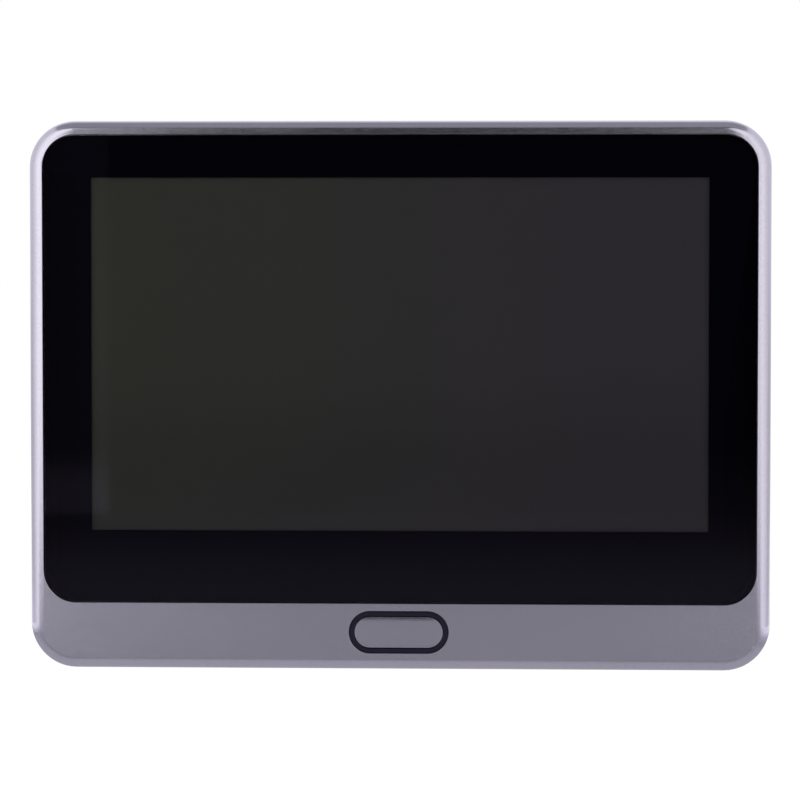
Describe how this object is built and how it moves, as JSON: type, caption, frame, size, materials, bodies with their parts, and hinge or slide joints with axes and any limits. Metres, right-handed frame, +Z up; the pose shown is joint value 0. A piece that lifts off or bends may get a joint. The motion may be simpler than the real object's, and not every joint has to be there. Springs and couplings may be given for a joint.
{
  "type": "peephole door camera",
  "caption": "Peephole door camera: an indoor monitor with a glass front and an oblong button hangs on a hook bracket, clamped through the door to a round outdoor camera with a bell button.",
  "frame": {"origin": "on the peephole axis, at the inside face of the door, where the sleeve enters the hole", "axes": "+X to the right of someone indoors who looks at the screen, +Y into the door, +Z up"},
  "size_m": [0.114, 0.0821, 0.0844],
  "materials": {
    "bezel_paint": "satin grey paint on a moulded bezel",
    "rear_plastic": "fine moulded texture",
    "cover_glass": "polished",
    "black_ink": "black print",
    "tape": "foam tape",
    "screen": "dark screen, unlit",
    "tray_steel": "pressed tray",
    "copper_flex": "polyimide ribbon",
    "ring_plastic": "satin black",
    "switch_case": "moulded",
    "plunger_plastic": "moulded",
    "board_green": "solder mask",
    "screw_steel": "nickel plated",
    "can_tin": "tinned",
    "battery_wrap": "foil pouch",
    "lead_red": "insulated wire",
    "speaker_black": "moulded",
    "rubber_black": "matt",
    "flap_plastic": "soft-touch flap",
    "foam_pad": "closed-cell foam",
    "socket_cream": "moulded",
    "plug_black": "moulded",
    "ribbon_film": "laminated film",
    "bracket_steel": "zinc plated",
    "tube_brass": "nickel-plated brass",
    "camera_alloy": "satin grey paint",
    "gloss_black": "polished",
    "lens_black": "moulded",
    "lens_glass": "coated",
    "sensor_chip": "glass-faced chip",
    "lamp_epoxy": "dark epoxy",
    "dome_plastic": "milky",
    "ring_clear": "translucent",
    "bell_metal": "satin anodised"
  },
  "bodies": {
    "bracket": {"mounting_bracket": "bracket_steel", "bracket_pad": "foam_pad", "clamp_sleeve": "tube_brass"},
    "monitor": {"front_bezel": "bezel_paint", "rear_housing": "rear_plastic", "cover_glass": "cover_glass", "glass_border": "black_ink", "glass_tape": "tape", "lcd_panel": "screen", "lcd_backlight": "tray_steel", "lcd_flex": "copper_flex", "button_ring": "ring_plastic", "power_switch": "switch_case", "main_board": "board_green", "board_screws": "screw_steel", "board_shield": "can_tin", "battery_pack": "battery_wrap", "battery_tape": "tape", "battery_lead": "lead_red", "monitor_speaker": "speaker_black", "microphone": "can_tin", "mic_boot": "rubber_black", "wifi_antenna": "copper_flex", "usb_port": "can_tin", "card_socket": "can_tin", "housing_screws": "screw_steel", "ribbon_socket": "socket_cream", "ribbon_plug": "plug_black", "ribbon_end": "ribbon_film"},
    "power_button": {"power_button": "bezel_paint", "switch_plunger": "plunger_plastic"},
    "port_cover": {"port_cover": "flap_plastic"},
    "camera": {"camera_housing": "camera_alloy", "camera_gasket": "rubber_black", "camera_tail": "tube_brass", "camera_board": "board_green", "camera_screws": "screw_steel", "camera_connector": "socket_cream", "image_sensor": "sensor_chip", "lens_holder": "lens_black", "lens_barrel": "lens_black", "lens_element": "lens_glass", "lens_window": "lens_glass", "ir_leds": "lamp_epoxy", "pir_lens": "dome_plastic", "pir_sensor": "can_tin", "camera_face": "gloss_black", "face_seal": "rubber_black", "bell_ring": "ring_clear", "bell_switch": "switch_case", "camera_speaker": "speaker_black", "camera_mic": "can_tin", "ribbon_cable": "ribbon_film"},
    "bell_button": {"bell_button": "bell_metal", "bell_plunger": "plunger_plastic"}
  },
  "joints": [
    {"name": "monitor_lift", "type": "slide", "parent": "bracket", "child": "monitor", "axis": [0, 0, 1], "range_m": [0, 0.005], "deforming": ["ribbon_end"]},
    {"name": "power_press", "type": "slide", "parent": "monitor", "child": "power_button", "axis": [0, 1, 0], "range_m": [0, 0.0005], "stiffness_N_per_m": 1000, "springref_m": -0.001},
    {"name": "cover_hinge", "type": "hinge", "parent": "monitor", "child": "port_cover", "pos_m": [0.05655, -0.012, -0.008], "axis": [0, 1, 0], "range_deg": [0, 90]},
    {"name": "camera_slide", "type": "slide", "parent": "bracket", "child": "camera", "axis": [0, 1, 0], "range_m": [-0.004, 0.09], "deforming": ["ribbon_cable"]},
    {"name": "bell_press", "type": "slide", "parent": "camera", "child": "bell_button", "axis": [0, -1, 0], "range_m": [0, 0.0008], "stiffness_N_per_m": 1000, "springref_m": -0.001}
  ]
}
